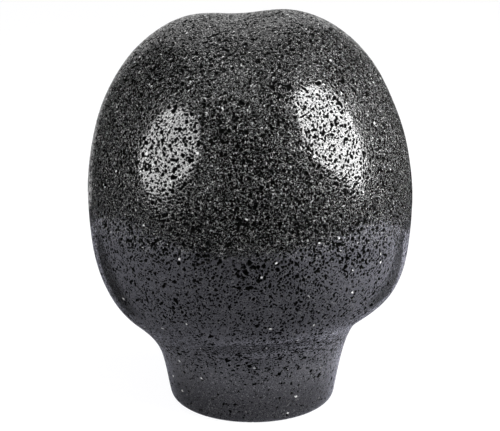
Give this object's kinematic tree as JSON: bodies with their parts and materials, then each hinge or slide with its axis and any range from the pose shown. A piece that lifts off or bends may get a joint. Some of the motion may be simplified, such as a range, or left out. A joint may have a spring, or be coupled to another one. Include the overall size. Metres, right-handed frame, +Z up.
{
  "type": "molcajete hand stone",
  "caption": "Solid basalt hand stone: a tall rounded grinding head on a short tapered foot, flat underneath so that it stands upright.",
  "frame": {"origin": "middle of the flat foot, on the plane that the stone stands on", "axes": "+Z up from the foot to the crown of the grinding head, and -Y towards the viewer of the front"},
  "size_m": [0.0802, 0.0802, 0.0988],
  "materials": {
    "basalt": "polished vesicular basalt, near black, with fine open pores and a few pale mineral grains"
  },
  "bodies": {
    "root": {"hand_stone": "basalt"}
  },
  "joints": []
}
